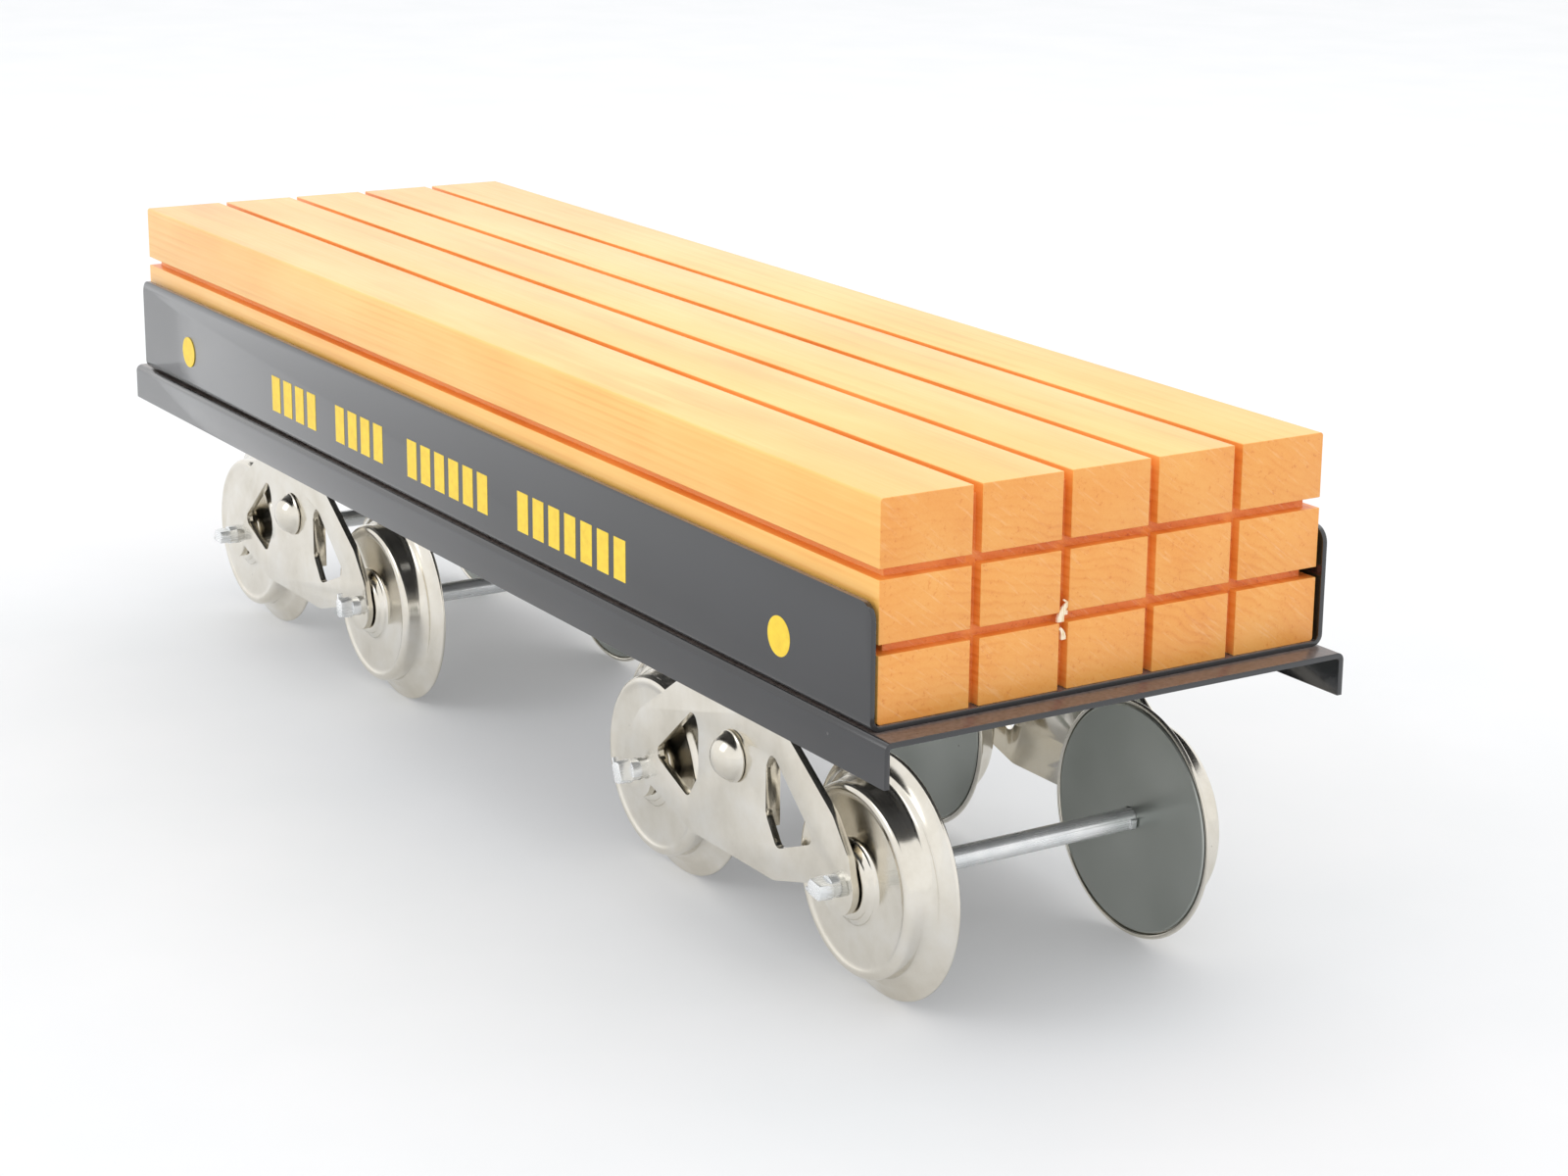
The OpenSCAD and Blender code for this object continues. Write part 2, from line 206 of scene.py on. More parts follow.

# %% [markdown]
# ## Gloss black baked enamel
#
# The deck and tray are steel sheet, bent, then dipped or sprayed with black enamel and baked. The
# film is a deep black with a hard gloss. Up close it has a faint orange-peel ripple, about 2 mm from
# crest to crest, a few dust nibs, and a slight haze from handling that makes the gloss uneven. Faces
# that look up carry a painted reflection of the wood: a brownish tint in noisy patches, made duller.

# %% Enamel
def make_enamel():
    material, tree, shader, coords = begin_material("black_baked_enamel", IOR=1.55, Specular_IOR_Level=0.65,
                                                    Coat_Weight=0.4, Coat_Roughness=0.08)
    mm = stretched(tree, coords, (1, 1, 1))
    haze = put(tree, "ShaderNodeTexNoise", {"Vector": mm, "Scale": 0.03, "Detail": 5.0, "Roughness": 0.6})
    grit = put(tree, "ShaderNodeTexNoise", {"Vector": mm, "Scale": 1.3, "Detail": 4.0})
    nibs = put(tree, "ShaderNodeTexVoronoi", {"Vector": mm, "Scale": 0.11, "Randomness": 1.0})
    peel = put(tree, "ShaderNodeTexNoise", {"Vector": mm, "Scale": 0.5, "Detail": 2.0})
    nib_mask = ramp(tree, nibs.outputs["Distance"], [(0.0, grey(1)), (0.035, grey(0))])
    film = ramp(tree, haze.outputs["Fac"], [(0.35, colour("#151619")), (0.7, colour("#1f2024"))])
    dusted = put(tree, "ShaderNodeMix", {"Factor": nib_mask, "A": film, "B": colour("#6e6c68")},
                 data_type="RGBA")
    facing = put(tree, "ShaderNodeNewGeometry").outputs["Normal"]
    upward = put(tree, "ShaderNodeSeparateXYZ", {"Vector": facing}).outputs["Z"]
    # Painted reflection: faces that look up get a brownish tint in noisy patches, standing in for the wood
    # reflected in the gloss, and are made rougher there.
    faces_up_mask = put(tree, "ShaderNodeMapRange", {"Value": upward, "From Min": 0.92, "From Max": 1.0,
                                               "To Max": 0.7})
    painted_reflection_mask = put(tree, "ShaderNodeMath", {0: faces_up_mask.outputs["Result"], 1: grit.outputs["Fac"]},
                 operation="MULTIPLY")
    painted_reflection_colour = put(tree, "ShaderNodeMix", {"Factor": painted_reflection_mask.outputs["Value"], "A": dusted.outputs["Result"],
                                      "B": colour("#a8958c")}, data_type="RGBA")
    tree.links.new(painted_reflection_colour.outputs["Result"], shader.inputs["Base Color"])
    gloss = put(tree, "ShaderNodeMapRange", {"Value": haze.outputs["Fac"], "From Min": 0.3, "From Max": 0.7,
                                             "To Min": 0.1, "To Max": 0.18})
    dulled = put(tree, "ShaderNodeMath", {0: painted_reflection_mask.outputs["Value"], 1: 0.8, 2: gloss.outputs["Result"]},
                 operation="MULTIPLY_ADD")
    tree.links.new(dulled.outputs["Value"], shader.inputs["Roughness"])
    ripple = put(tree, "ShaderNodeBump", {"Height": peel.outputs["Fac"], "Strength": 0.12,
                                          "Distance": 0.02 * MM})
    nib_bump = put(tree, "ShaderNodeBump", {"Height": nib_mask, "Strength": 0.4, "Distance": 0.05 * MM,
                                            "Normal": ripple.outputs["Normal"]})
    tree.links.new(nib_bump.outputs["Normal"], shader.inputs["Normal"])
    return material


enamel = make_enamel()
print(enamel.name, len(enamel.node_tree.nodes), "nodes")

# %% [markdown]
# ## Bright nickel plate
#
# The sideframes and wheels are stamped steel, tumbled and then nickel plated. Nickel is a warm,
# slightly yellow metal. The stamping leaves the surface gently uneven, over 6 to 8 mm, and the
# plating has fine scratches, faint cloudy stains and some tiny dark pits.

# %% Nickel
def make_nickel():
    material, tree, shader, coords = begin_material("bright_nickel_plate", Metallic=1.0)
    mm = stretched(tree, coords, (1, 1, 1))
    cloud = put(tree, "ShaderNodeTexNoise", {"Vector": mm, "Scale": 0.09, "Detail": 6.0, "Roughness": 0.62})
    pits = put(tree, "ShaderNodeTexVoronoi", {"Vector": mm, "Scale": 0.16})
    waves = put(tree, "ShaderNodeTexNoise", {"Vector": mm, "Scale": 0.14, "Detail": 1.5})
    brushed = put(tree, "ShaderNodeTexNoise", {"Vector": stretched(tree, coords, (0.12, 2.6, 2.6)),
                                               "Scale": 1.0,
                                               "Detail": 3.0})
    plate = ramp(tree, cloud.outputs["Fac"], [(0.3, colour("#d4cec1")), (0.5, colour("#dfdacf")),
                                              (0.72, colour("#e6e3dc"))])
    pit_mask = ramp(tree, pits.outputs["Distance"], [(0.0, grey(1)), (0.03, grey(0))])
    pitted = put(tree, "ShaderNodeMix", {"Factor": pit_mask, "A": plate, "B": colour("#5d5344")},
                 data_type="RGBA")
    tree.links.new(pitted.outputs["Result"], shader.inputs["Base Color"])
    gloss = put(tree, "ShaderNodeMapRange", {"Value": cloud.outputs["Fac"], "From Min": 0.3,
                                             "From Max": 0.75,
                                             "To Min": 0.2, "To Max": 0.12})
    tree.links.new(gloss.outputs["Result"], shader.inputs["Roughness"])
    wave_bump = put(tree, "ShaderNodeBump", {"Height": waves.outputs["Fac"], "Strength": 0.25,
                                             "Distance": 0.12 * MM})
    fine_bump = put(tree, "ShaderNodeBump", {"Height": brushed.outputs["Fac"], "Strength": 0.08,
                                             "Distance": 0.02 * MM,
                                             "Normal": wave_bump.outputs["Normal"]})
    tree.links.new(fine_bump.outputs["Normal"], shader.inputs["Normal"])
    return material


nickel = make_nickel()
print(nickel.name, len(nickel.node_tree.nodes), "nodes")

# %% [markdown]
# ## Zinc plated rod
#
# The axles, screws and pins are cold-drawn steel with bright zinc. Drawing leaves fine lines along
# the rod, about 0.2 mm apart, and the zinc gives a slightly blue, softer shine than nickel. The lines
# are drawn coarser here, at 0.4 mm, so that they show.

# %% Zinc
def make_zinc():
    material, tree, shader, coords = begin_material("bright_zinc_plate", Metallic=0.62)
    drawn = put(tree, "ShaderNodeTexNoise", {"Vector": stretched(tree, coords, (2.4, 0.07, 2.4)),
                                             "Scale": 1.0,
                                             "Detail": 3.0})
    cloud = put(tree, "ShaderNodeTexNoise", {"Vector": stretched(tree, coords, (1, 1, 1)), "Scale": 0.22,
                                             "Detail": 5.0})
    zinc_colour = ramp(tree, cloud.outputs["Fac"], [(0.32, colour("#e2e5e6")), (0.65, colour("#f3f4f4"))])
    tree.links.new(zinc_colour, shader.inputs["Base Color"])
    gloss = put(tree, "ShaderNodeMapRange", {"Value": drawn.outputs["Fac"], "From Min": 0.3,
                                             "From Max": 0.7,
                                             "To Min": 0.2, "To Max": 0.3})
    tree.links.new(gloss.outputs["Result"], shader.inputs["Roughness"])
    lines = put(tree, "ShaderNodeBump", {"Height": drawn.outputs["Fac"], "Strength": 0.1,
                                         "Distance": 0.02 * MM})
    tree.links.new(lines.outputs["Normal"], shader.inputs["Normal"])
    return material


zinc = make_zinc()
print(zinc.name, len(zinc.node_tree.nodes), "nodes")

# %% [markdown]
# ## Matt grey steel
#
# The discs in the wheel backs are unplated cold-rolled sheet, with a dull, slightly green-grey skin.
# It mirrors only softly, its tone drifts slowly over some 20 mm, and fine rolling lines draw each
# reflection out into a smear.

# %% Grey steel
def make_grey_steel():
    material, tree, shader, coords = begin_material("cold_rolled_grey_steel", Metallic=0.9)
    mm = stretched(tree, coords, (1, 1, 1))
    blotch = put(tree, "ShaderNodeTexNoise", {"Vector": mm, "Scale": 0.05, "Detail": 1.5, "Roughness": 0.4})
    grain = put(tree, "ShaderNodeTexNoise", {"Vector": stretched(tree, coords, (6, 6, 0.4)), "Scale": 1.0,
                                             "Detail": 3.0})
    specks = put(tree, "ShaderNodeTexVoronoi", {"Vector": mm, "Scale": 0.14})
    skin = ramp(tree, blotch.outputs["Fac"], [(0.3, colour("#9b9f99")), (0.7, colour("#b4b8b3"))])
    speck_mask = ramp(tree, specks.outputs["Distance"], [(0.0, grey(0.8)), (0.04, grey(0))])
    spotted = put(tree, "ShaderNodeMix", {"Factor": speck_mask, "A": skin, "B": colour("#3a3631")},
                  data_type="RGBA")
    tree.links.new(spotted.outputs["Result"], shader.inputs["Base Color"])
    gloss = put(tree, "ShaderNodeMapRange", {"Value": blotch.outputs["Fac"], "From Min": 0.3,
                                             "From Max": 0.7,
                                             "To Min": 0.3, "To Max": 0.36})
    tree.links.new(gloss.outputs["Result"], shader.inputs["Roughness"])
    texture = put(tree, "ShaderNodeBump", {"Height": grain.outputs["Fac"], "Strength": 0.25,
                                           "Distance": 0.02 * MM})
    tree.links.new(texture.outputs["Normal"], shader.inputs["Normal"])
    return material


grey_steel = make_grey_steel()
print(grey_steel.name, len(grey_steel.node_tree.nodes), "nodes")

# %% [markdown]
# ## Orange-stained softwood
#
# A log's rings are cylinders about the pith, so a solid pattern of rings round a line along the car
# gives straight grain on the top and sides and arcs on the sawn ends, all in one material. The rings
# are about 1.7 mm apart. Stain sinks deeper into the open ends of the fibres, so the ends are more
# orange, and a saw has left fine slanting marks there. A thin lacquer gives a low shine. The line of
# the pith lies below and beside the block.

# %% Stained wood
PITH_Y, PITH_Z = -38 * MM, -52 * MM
RING = 1.7


def make_wood(name, pale, middle, deep, rough):
    material, tree, shader, coords = begin_material(name, IOR=1.5, Specular_IOR_Level=0.5, Coat_Weight=0.5,
                                                    Coat_Roughness=0.24)
    centred = put(tree, "ShaderNodeMapping", {"Vector": coords,
                                              "Location": (0, -PITH_Y, -PITH_Z)}).outputs["Vector"]
    wander = put(tree, "ShaderNodeTexNoise", {"Vector": stretched(tree, coords, (0.004, 0.1, 0.1)),
                                              "Scale": 1.0,
                                              "Detail": 3.0})
    shift = put(tree, "ShaderNodeVectorMath", {0: wander.outputs["Color"], 1: (0.0, 5 * MM, 5 * MM)},
                operation="MULTIPLY")
    bent = put(tree, "ShaderNodeVectorMath", {0: centred, 1: shift.outputs["Vector"]},
               operation="ADD").outputs["Vector"]
    flat = put(tree, "ShaderNodeVectorMath", {0: bent, 1: (0.0, 1 / MM, 1 / MM)},
               operation="MULTIPLY").outputs["Vector"]
    radius = put(tree, "ShaderNodeVectorMath", {0: flat}, operation="LENGTH").outputs["Value"]
    turns = put(tree, "ShaderNodeMath", {0: radius, 1: RING}, operation="DIVIDE").outputs["Value"]
    ring = put(tree, "ShaderNodeMath", {0: turns}, operation="FRACT").outputs["Value"]
    band = ramp(tree, ring, [(0.0, grey(0.1)), (0.5, grey(0.25)), (0.8, grey(0.9)), (1.0, grey(0.1))])
    patches = put(tree, "ShaderNodeTexNoise", {"Vector": stretched(tree, coords, (0.03, 0.07, 0.07)),
                                               "Scale": 1.0})
    clear = ramp(tree, patches.outputs["Fac"], [(0.42, grey(0.25)), (0.62, grey(1.0))])
    shown = put(tree, "ShaderNodeMath", {0: band, 1: clear}, operation="MULTIPLY").outputs["Value"]
    fibres = put(tree, "ShaderNodeTexNoise", {"Vector": stretched(tree, coords, (0.04, 2.4, 2.4)),
                                              "Scale": 1.0,
                                              "Detail": 4.0})
    blotch = put(tree, "ShaderNodeTexNoise", {"Vector": stretched(tree, coords, (0.02, 0.08, 0.08)),
                                              "Scale": 1.0,
                                              "Detail": 4.0})
    slant = put(tree, "ShaderNodeMapping", {"Vector": coords,
                                            "Rotation": (math.radians(38), 0, 0)}).outputs["Vector"]
    teeth = put(tree, "ShaderNodeTexNoise", {"Vector": stretched(tree, slant, (0.3, 0.14, 1.6)),
                                             "Scale": 1.0,
                                             "Detail": 5.0, "Roughness": 0.7})
    scratches = ramp(tree, teeth.outputs["Fac"], [(0.55, grey(0.0)), (0.72, grey(1.0))])
    pores = put(tree, "ShaderNodeTexNoise", {"Vector": stretched(tree, coords, (0.2, 1.1, 1.1)),
                                             "Scale": 1.0,
                                             "Detail": 4.0, "Roughness": 0.75})
    flecks = ramp(tree, pores.outputs["Fac"], [(0.58, grey(0.0)), (0.7, grey(1.0))])
    facing = put(tree, "ShaderNodeNewGeometry").outputs["Normal"]
    lengthways = put(tree, "ShaderNodeSeparateXYZ", {"Vector": facing}).outputs["X"]
    end_grain = put(tree, "ShaderNodeMath", {0: lengthways}, operation="ABSOLUTE").outputs["Value"]
    cut_marks = put(tree, "ShaderNodeMath", {0: flecks, 1: end_grain}, operation="MULTIPLY")
    scratched = put(tree, "ShaderNodeMath", {0: scratches, 1: end_grain},
                    operation="MULTIPLY").outputs["Value"]
    rings = put(tree, "ShaderNodeMath", {0: shown, 1: 0.24}, operation="MULTIPLY").outputs["Value"]
    stained = put(tree, "ShaderNodeMath", {0: blotch.outputs["Fac"], 1: 0.75, 2: rings},
                  operation="MULTIPLY_ADD")
    fibred = put(tree, "ShaderNodeMath", {0: fibres.outputs["Fac"], 1: 0.25, 2: stained.outputs["Value"]},
                 operation="MULTIPLY_ADD").outputs["Value"]
    sawn = put(tree, "ShaderNodeMath", {0: cut_marks.outputs["Value"], 1: 0.4, 2: fibred},
               operation="MULTIPLY_ADD")
    tint = ramp(tree, sawn.outputs["Value"], [(0.35, pale), (0.62, middle), (1.0, deep)])
    soaked = put(tree, "ShaderNodeMix", {"Factor": end_grain, "A": tint, "B": (0.93, 0.7, 0.54, 1.0)},
                 data_type="RGBA",
                 blend_type="MULTIPLY").outputs["Result"]
    paled = put(tree, "ShaderNodeMath", {0: scratched, 1: 0.24}, operation="MULTIPLY").outputs["Value"]
    combed = put(tree, "ShaderNodeMix", {"Factor": paled, "A": soaked, "B": colour("#ffe0b0")},
                 data_type="RGBA")
    tree.links.new(combed.outputs["Result"], shader.inputs["Base Color"])
    gloss = put(tree, "ShaderNodeMapRange", {"Value": fibres.outputs["Fac"], "To Min": rough,
                                             "To Max": rough + 0.14})
    tree.links.new(gloss.outputs["Result"], shader.inputs["Roughness"])
    grain_bump = put(tree, "ShaderNodeBump", {"Height": sawn.outputs["Value"], "Strength": 0.35,
                                              "Distance": 0.1 * MM})
    tree.links.new(grain_bump.outputs["Normal"], shader.inputs["Normal"])
    return material


stained_wood = make_wood("orange_stained_softwood", colour("#fbcb74"), colour("#f6bb5f"), colour("#e9a047"),
                         0.38)
# A darker, more orange wood for the faces inside the saw cuts.
sawn_groove = make_wood("darker_wood_in_saw_cut", colour("#fbb15c"), colour("#ee963c"), colour("#cf6c27"),
                        0.5)
print(stained_wood.name, "and", sawn_groove.name)

# %% [markdown]
# ## Yellow paint
#
# The marks on the tray's walls are stamped in yellow enamel. The film is thin, a little uneven at its
# edges and less glossy than the black under it.

# %% Yellow paint
def make_yellow():
    material, tree, shader, coords = begin_material("yellow_stamped_enamel", IOR=1.5)
    mottle = put(tree, "ShaderNodeTexNoise", {"Vector": stretched(tree, coords, (1, 1, 1)), "Scale": 0.7,
                                              "Detail": 4.0})
    film = ramp(tree, mottle.outputs["Fac"], [(0.3, colour("#ecc61c")), (0.7, colour("#f8d52e"))])
    tree.links.new(film, shader.inputs["Base Color"])
    gloss = put(tree, "ShaderNodeMapRange", {"Value": mottle.outputs["Fac"], "To Min": 0.25, "To Max": 0.4})
    tree.links.new(gloss.outputs["Result"], shader.inputs["Roughness"])
    return material


yellow_paint = make_yellow()
print(yellow_paint.name)

# %% [markdown]
# ## Softening the sheet-metal pieces
#
# A bent or stamped sheet has no razor edges: the die rolls them over by a few tenths of a millimetre,
# and that thin curve catches a line of light. The frame's own meshes are loose triangles with sharp
# edges. So each of these pieces starts as a copy of its node, its triangles are merged back into flat
# faces, and a small bevel is cut on every sharp edge.

# %% Copy a node and round its edges
def only(obj):
    """Makes obj the one selected and active object."""
    bpy.ops.object.select_all(action="DESELECT")
    obj.select_set(True)
    bpy.context.view_layer.objects.active = obj


def apply_all(obj):
    """Applies every modifier in order."""
    only(obj)
    for modifier in list(obj.modifiers):
        bpy.ops.object.modifier_apply(modifier=modifier.name)


def softened_copy(node, name, radius, segments=2, limit=35):
    """A copy of a CAD node, as whole faces with its sharp edges rounded by radius millimetres."""
    copy = bpy.data.objects.new(name, nodes[node].data.copy())
    copy.data.name = name
    scene.collection.objects.link(copy)
    only(copy)
    bpy.ops.object.mode_set(mode="EDIT")
    bpy.ops.mesh.select_all(action="SELECT")
    bpy.ops.mesh.remove_doubles(threshold=0.002 * MM)
    bpy.ops.mesh.dissolve_limited(angle_limit=math.radians(1.0))
    bpy.ops.object.mode_set(mode="OBJECT")
    bevel = copy.modifiers.new("soft_edges", "BEVEL")
    bevel.width = radius * MM
    bevel.segments = segments
    bevel.limit_method = "ANGLE"
    bevel.angle_limit = math.radians(limit)
    bevel.use_clamp_overlap = True
    bevel.harden_normals = False
    apply_all(copy)
    bpy.ops.object.shade_smooth_by_angle(angle=math.radians(32))
    return copy


def finish_piece(piece, body, slot_name, material, *replaced):
    """Gives a piece its material and its body, and hides the nodes that it stands for. slot_name is not
    used.
    """
    piece.data.materials.clear()
    piece.data.materials.append(material)
    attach(piece, body)
    if replaced:
        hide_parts(*replaced)
    return piece


tray = finish_piece(softened_copy("load_tray", "tray", 0.18), "car", "black_enamel", enamel, "load_tray")
deck = finish_piece(softened_copy("deck_frame", "deck", 0.18), "car", "black_enamel", enamel, "deck_frame")
print("tray and deck:", len(tray.data.polygons), len(deck.data.polygons), "faces")

# %% [markdown]
# ## The wood block
#
# The block is one piece of wood. Its saw cuts have crisp but not sharp arrises, so the edges get a
# slightly larger bevel. The faces that lie inside the block's outer box, the walls and floors of the
# cuts, get a darker, more orange wood.

# %% Block
def make_block():
    block = softened_copy("load_block", "lumber_block", 0.28, segments=3)
    finish_piece(block, "car", "stained_wood", stained_wood, "load_block")
    block.data.materials.append(sawn_groove)
    low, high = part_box("load_block")
    inset = 0.45 * MM
    count = 0
    # Faces inside the block's outer box, in the saw cuts, get the darker wood.
    for face in block.data.polygons:
        x, y, z = face.center
        inside = low.x + inset < x < high.x - inset and low.y + inset < y < high.y - inset
        if inside and low.z + inset < z < high.z - inset:
            face.material_index = 1
            count += 1
    print("faces inside the saw cuts:", count)
    return block


block = make_block()

# %% [markdown]
# ## Sideframes and bolsters
#
# These are stamped too, from thicker sheet, so their edges are rolled over a little more.

# %% Stamped truck pieces
for end in ("front", "rear"):
    for side in ("left", "right"):
        node = f"{end}_sideframe_{side}"
        finish_piece(softened_copy(node, node + "_stamping", 0.25, 3), f"{end}_truck", "nickel_plate",
                     nickel, node)
    node = f"{end}_bolster"
    finish_piece(softened_copy(node, node + "_stamping", 0.2), f"{end}_swivel", "nickel_plate", nickel,
                 node)

# %% [markdown]
# ## Turned shapes
#
# Wheels, discs and rivets are round, so each is drawn as a half section and built as a lathe would
# cut it. A circle is added for the first point of the section. Then its edge loop is extruded, moved
# along the axis and resized for each point that follows. The section runs as pairs of radius and
# distance along the axis, and arcs fill in the round parts.

# %% Lathe helper
def arc(centre, radius, start, stop, steps=6):
    """Points of an arc in a section, with its angles in degrees."""
    angles = [math.radians(start + (stop - start) * i / steps) for i in range(steps + 1)]
    return [(centre[0] + radius * math.cos(a), centre[1] + radius * math.sin(a)) for a in angles]


def turn_outward(obj):
    """Flips a closed shape whose faces look inward, which shows as a volume below zero."""
    volume = sum(face.center.dot(face.normal) * face.area for face in obj.data.polygons) / 3
    if volume < 0:
        only(obj)
        bpy.ops.object.mode_set(mode="EDIT")
        bpy.ops.mesh.select_all(action="SELECT")
        bpy.ops.mesh.flip_normals()
        bpy.ops.object.mode_set(mode="OBJECT")


def lathe(name, section, sides=128, solid=False):
    """Turns a section in millimetres about the Z axis. A solid shape gets a face at both ends."""
    bpy.ops.object.select_all(action="DESELECT")
    radius, along = section[0]
    bpy.ops.mesh.primitive_circle_add(vertices=sides, radius=radius * MM, location=(0, 0, along * MM))
    turned = bpy.context.object
    turned.name = turned.data.name = name
    bpy.ops.object.transform_apply(location=True, rotation=False, scale=False)
    bpy.ops.object.mode_set(mode="EDIT")
    bpy.ops.mesh.select_all(action="SELECT")
    for new_radius, new_along in section[1:] + ([] if solid else section[:1]):
        bpy.ops.mesh.extrude_region_move(TRANSFORM_OT_translate={"value": (0, 0, (new_along - along) * MM)})
        share = new_radius / radius
        bpy.ops.transform.resize(value=(share, share, 1), center_override=(0, 0, new_along * MM))
        radius, along = new_radius, new_along
    bpy.ops.mesh.select_all(action="SELECT")
    bpy.ops.mesh.remove_doubles(threshold=0.002 * MM)
    if solid:
        bpy.ops.mesh.select_all(action="DESELECT")
        bpy.ops.mesh.select_mode(type="EDGE")
        bpy.ops.mesh.select_non_manifold()
        bpy.ops.mesh.edge_face_add()
        bpy.ops.mesh.select_all(action="SELECT")
    bpy.ops.mesh.normals_make_consistent(inside=False)
    bpy.ops.object.mode_set(mode="OBJECT")
    turn_outward(turned)
    bpy.ops.object.shade_smooth_by_angle(angle=math.radians(30))
    return turned


def placed_copy(source, name, place, side):
    """A copy with its own mesh, its axis laid across the car with +Z turned outward, moved to its place."""
    copy = source.copy()
    copy.data = source.data.copy()
    copy.name = copy.data.name = name
    scene.collection.objects.link(copy)
    copy.location = place
    copy.rotation_euler = (math.radians(-90 * side), 0, 0)
    only(copy)
    bpy.ops.object.transform_apply(location=True, rotation=True, scale=True)
    return copy


def discard(obj):
    bpy.data.objects.remove(obj, do_unlink=True)


print("an arc of 4 steps:", [tuple(round(c, 2) for c in p) for p in arc((0, 0), 1, 0, 90, 4)])

# %% [markdown]
# ## Wheels
#
# Each wheel is a steel cup drawn in several hits. From the axle outward there is a raised hub with a
# rounded shoulder, a flat web that is only just sunk, a rounded rim, a hollow tread that sweeps into
# the thin flange, and a lip rolled over at the back that holds the grey disc. The sizes come from the
# frame's own wheel: its overall radius and width are measured, and the details between are set in
# millimetres.

# %% Wheel shell and disc
low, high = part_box("front_outer_wheel_left")
FLANGE_R = (high.x - low.x) / 2 / MM
HUB_W = (high.y - low.y) / MM
RIM_W = HUB_W - 1.5
WEB = RIM_W - 0.35
TREAD_R = FLANGE_R - 4.8
BORE_R = 2.05
LIP_W = 1.0
DISC_T = 0.75
print("wheel radius", round(FLANGE_R, 2), "and width", round(RIM_W, 2), "mm")

hub_side = arc((5.4, HUB_W - 1.0), 1.0, 90, 15, 6)
hub_foot = arc((8.0, WEB + 0.75), 0.75, 195, 270, 6)
dish = [(14.3, WEB), (14.7, WEB + 0.05), (15.1, WEB + 0.2), (15.4, RIM_W - 0.04)]
rim_edge = arc((TREAD_R - 1.3, RIM_W - 1.3), 1.3, 88, 0, 10)
root = arc((TREAD_R + 2.05, 4.2), 2.0, 180, 255, 10)
flange_face = [(TREAD_R + 1.85, 2.18), (TREAD_R + 2.1, 2.06), (TREAD_R + 2.3, 1.88), (FLANGE_R - 0.4, 0.82)]
tip = arc((FLANGE_R - 0.4, 0.42), 0.4, 75, 0, 4)
lip = arc((FLANGE_R - 0.45, 0.45), 0.45, 0, -180, 8)
shell_section = (
    [(BORE_R, HUB_W - 0.4), (BORE_R + 0.15, HUB_W - 0.1), (BORE_R + 0.4,
                                                           HUB_W)] + hub_side + hub_foot + dish + rim_edge
    + root + flange_face + tip + lip
    + [(FLANGE_R - LIP_W, DISC_T), (TREAD_R - 0.9, DISC_T + 0.02), (TREAD_R - 0.9, WEB - 0.9),
       (BORE_R, WEB - 0.9)])
shell = lathe("wheel_shell", shell_section)
disc_edge = FLANGE_R - LIP_W - 0.12
disc_section = [(BORE_R, DISC_T), (BORE_R, 0.12), (BORE_R + 0.15, 0.0), (disc_edge - 0.3, 0.0),
                (disc_edge, 0.2),
                (disc_edge, DISC_T)]
disc = lathe("wheel_disc", disc_section)
print("shell faces:", len(shell.data.polygons), " disc faces:", len(disc.data.polygons))

# %% Put a shell and a disc on every axle
for end in ("front", "rear"):
    for axle in ("outer", "inner"):
        for side_name, side in (("left", 1), ("right", -1)):
            node = f"{end}_{axle}_wheel_{side_name}"
            pivot = Vector(joints[node + "_spin"]["pos_m"])
            low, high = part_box(node)
            pivot.y = low.y if side > 0 else high.y
            body = node + "_body"
            wheel = placed_copy(shell, node + "_shell", pivot, side)
            finish_piece(wheel, body, "nickel_plate", nickel, node)
            back = placed_copy(disc, node + "_disc", pivot, side)
            back_node = f"{end}_{axle}_wheel_back_{side_name}"
            finish_piece(back, body, "grey_steel", grey_steel, back_node)
discard(shell)
discard(disc)

# %% [markdown]
# ## Side rivets
#
# The rivets have a polished, domed head with a thin rim, and a smaller closed head behind the lug.
# The frame's rivet gives the two ends; the dome's height and radius are set here.

# %% Rivets
low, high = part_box("front_side_rivet_left")
RIVET_L = (high.y - low.y) / MM
DOME_R, DOME_H, RIM_R, RIM_T = 4.5, 3.6, 4.65, 0.35
head_at = RIVET_L - DOME_H
ball = (DOME_R ** 2 + DOME_H ** 2) / (2 * DOME_H)
half_angle = math.degrees(math.asin(DOME_R / ball))
dome = arc((0, head_at + DOME_H - ball), ball, 90 - half_angle, 87.5, 14)
rivet_section = ([(0.2, 0), (3.0, 0), (3.4, 0.4), (3.4, 1.1), (2.0, 1.1), (2.0, head_at),
                  (RIM_R - 0.1, head_at),
                  (RIM_R, head_at + 0.1), (RIM_R, head_at + RIM_T),
                  (DOME_R + 0.02, head_at + RIM_T + 0.08)] + dome[2:])
rivet = lathe("side_rivet", rivet_section, 96, solid=True)
for end in ("front", "rear"):
    for side_name, side in (("left", 1), ("right", -1)):
        node = f"{end}_side_rivet_{side_name}"
        low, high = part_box(node)
        centre = (low + high) / 2
        place = Vector((centre.x, low.y if side > 0 else high.y, centre.z))
        finish_piece(placed_copy(rivet, node + "_head", place, side), f"{end}_swivel", "nickel_plate",
                     nickel, node)
discard(rivet)
print("rivet length", round(RIVET_L, 2), "mm")

# %% [markdown]
# ## Axles
#
# The axle's ends are pinched in a crimping tool, which leaves a round neck, a rough flat and one
# burr. The frame already has that form, so a softened copy is enough.

